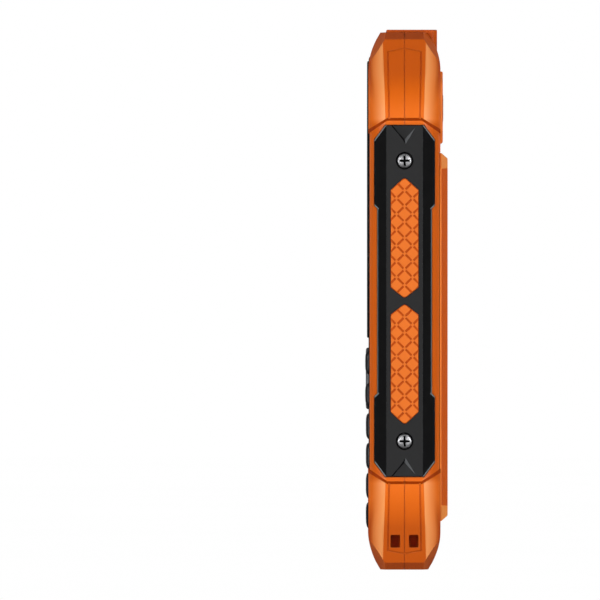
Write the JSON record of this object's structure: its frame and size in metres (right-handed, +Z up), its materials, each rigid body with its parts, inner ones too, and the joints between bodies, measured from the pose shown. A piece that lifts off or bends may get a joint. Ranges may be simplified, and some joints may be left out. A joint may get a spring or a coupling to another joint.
{
  "type": "rugged power bank handset",
  "caption": "Bar-shaped rugged handset that doubles as a power bank: armoured ends, screwed side panels with grips, keypad, torch, USB ports under a flap and a lift-off battery cover.",
  "frame": {"origin": "centre of the bottom end, on the seam between the front and rear shells", "axes": "+Z runs up the handset from its bottom end to the torch, +X points to its right-hand side and +Y out of its back; the screen and keys face -Y"},
  "size_m": [0.061, 0.0205, 0.1351],
  "materials": {
    "orange_armour": "hard orange moulded plastic, satin, fine spark-eroded texture",
    "orange_grip": "orange rubbery elastomer with a moulded diamond groove pattern",
    "black_panel": "black moulded plastic, fine matt texture",
    "black_fascia": "black semi-gloss moulded plastic",
    "key_black": "black silicone-backed key caps, satin, light moulded markings",
    "key_grey": "grey painted ring, satin metallic",
    "black_rubber": "black elastomer",
    "screen_glass": "polished dark cover glass over an unlit display",
    "clear_lens": "clear polycarbonate",
    "dark_lens": "polished dark glass",
    "steel": "bright zinc-plated steel",
    "nickel": "nickel-plated steel sheet",
    "reflector": "vacuum-metallised reflector",
    "circuit_board": "green solder resist over glass fibre",
    "battery_wrap": "dark blue printed-free battery film"
  },
  "bodies": {
    "housing": {"battery_contacts": "black_panel", "camera_lens": "dark_lens", "camera_module": "black_panel", "earpiece": "nickel", "front_fascia": "black_fascia", "front_housing": "orange_armour", "grip_left_lower": "orange_grip", "grip_left_upper": "orange_grip", "grip_right_lower": "orange_grip", "grip_right_upper": "orange_grip", "key_board": "circuit_board", "keypad_mat": "black_rubber", "lcd_module": "screen_glass", "loudspeaker": "black_panel", "main_board": "circuit_board", "rear_housing": "orange_armour", "rear_upper_plate": "orange_armour", "screen_lens": "screen_glass", "shield_can": "nickel", "side_panel_left": "black_panel", "side_panel_right": "black_panel", "side_screw_left_lower": "steel", "side_screw_left_upper": "steel", "side_screw_right_lower": "steel", "side_screw_right_upper": "steel", "sim_card_holder": "nickel", "torch_head": "orange_armour", "torch_led": "circuit_board", "torch_lens": "clear_lens", "torch_reflector": "reflector", "usb_in_socket": "nickel", "usb_out_socket": "nickel", "vibration_motor": "nickel"},
    "cover": {"battery_cover": "orange_armour", "cover_seal": "black_rubber"},
    "battery": {"battery_pack": "battery_wrap"},
    "screw_left": {"cover_screw_left": "steel"},
    "screw_right": {"cover_screw_right": "steel"},
    "port_flap": {"port_cover": "black_rubber"},
    "key_1": {"key_1": "key_black"},
    "key_2": {"key_2": "key_black"},
    "key_3": {"key_3": "key_black"},
    "key_4": {"key_4": "key_black"},
    "key_5": {"key_5": "key_black"},
    "key_6": {"key_6": "key_black"},
    "key_7": {"key_7": "key_black"},
    "key_8": {"key_8": "key_black"},
    "key_9": {"key_9": "key_black"},
    "key_star": {"key_star": "key_black"},
    "key_0": {"key_0": "key_black"},
    "key_hash": {"key_hash": "key_black"},
    "key_soft_left": {"key_soft_left": "key_black"},
    "key_soft_right": {"key_soft_right": "key_black"},
    "key_call": {"key_call": "key_black"},
    "key_end": {"key_end": "key_black"},
    "key_ok": {"key_ok": "key_black"},
    "key_navigation": {"key_navigation": "key_grey"}
  },
  "joints": [
    {"name": "cover_lift", "type": "slide", "parent": "housing", "child": "cover", "axis": [0, 1, 0], "range_m": [0, 0.03]},
    {"name": "battery_lift", "type": "slide", "parent": "housing", "child": "battery", "axis": [0, 1, 0], "range_m": [0, 0.012]},
    {"name": "cover_screw_left_turn", "type": "hinge", "parent": "cover", "child": "screw_left", "pos_m": [-0.0145, 0.0107, 0.0175], "axis": [0, 1, 0], "continuous": true},
    {"name": "cover_screw_right_turn", "type": "hinge", "parent": "cover", "child": "screw_right", "pos_m": [0.0145, 0.0107, 0.0175], "axis": [0, 1, 0], "continuous": true},
    {"name": "port_flap_hinge", "type": "hinge", "parent": "housing", "child": "port_flap", "pos_m": [0, 0.00425, 0], "axis": [1, 0, 0], "range_deg": [0, 110]},
    {"name": "key_1_press", "type": "slide", "parent": "housing", "child": "key_1", "axis": [0, 1, 0], "range_m": [0, 0.00035]},
    {"name": "key_2_press", "type": "slide", "parent": "housing", "child": "key_2", "axis": [0, 1, 0], "range_m": [0, 0.00035]},
    {"name": "key_3_press", "type": "slide", "parent": "housing", "child": "key_3", "axis": [0, 1, 0], "range_m": [0, 0.00035]},
    {"name": "key_4_press", "type": "slide", "parent": "housing", "child": "key_4", "axis": [0, 1, 0], "range_m": [0, 0.00035]},
    {"name": "key_5_press", "type": "slide", "parent": "housing", "child": "key_5", "axis": [0, 1, 0], "range_m": [0, 0.00035]},
    {"name": "key_6_press", "type": "slide", "parent": "housing", "child": "key_6", "axis": [0, 1, 0], "range_m": [0, 0.00035]},
    {"name": "key_7_press", "type": "slide", "parent": "housing", "child": "key_7", "axis": [0, 1, 0], "range_m": [0, 0.00035]},
    {"name": "key_8_press", "type": "slide", "parent": "housing", "child": "key_8", "axis": [0, 1, 0], "range_m": [0, 0.00035]},
    {"name": "key_9_press", "type": "slide", "parent": "housing", "child": "key_9", "axis": [0, 1, 0], "range_m": [0, 0.00035]},
    {"name": "key_star_press", "type": "slide", "parent": "housing", "child": "key_star", "axis": [0, 1, 0], "range_m": [0, 0.00035]},
    {"name": "key_0_press", "type": "slide", "parent": "housing", "child": "key_0", "axis": [0, 1, 0], "range_m": [0, 0.00035]},
    {"name": "key_hash_press", "type": "slide", "parent": "housing", "child": "key_hash", "axis": [0, 1, 0], "range_m": [0, 0.00035]},
    {"name": "key_soft_left_press", "type": "slide", "parent": "housing", "child": "key_soft_left", "axis": [0, 1, 0], "range_m": [0, 0.00035]},
    {"name": "key_soft_right_press", "type": "slide", "parent": "housing", "child": "key_soft_right", "axis": [0, 1, 0], "range_m": [0, 0.00035]},
    {"name": "key_call_press", "type": "slide", "parent": "housing", "child": "key_call", "axis": [0, 1, 0], "range_m": [0, 0.00035]},
    {"name": "key_end_press", "type": "slide", "parent": "housing", "child": "key_end", "axis": [0, 1, 0], "range_m": [0, 0.00035]},
    {"name": "key_ok_press", "type": "slide", "parent": "housing", "child": "key_ok", "axis": [0, 1, 0], "range_m": [0, 0.00035]},
    {"name": "key_navigation_press", "type": "slide", "parent": "housing", "child": "key_navigation", "axis": [0, 1, 0], "range_m": [0, 0.00035]}
  ],
  "couplings": [
    {"joint": "battery_lift", "follows": "cover_lift", "ratio": 0.4}
  ]
}
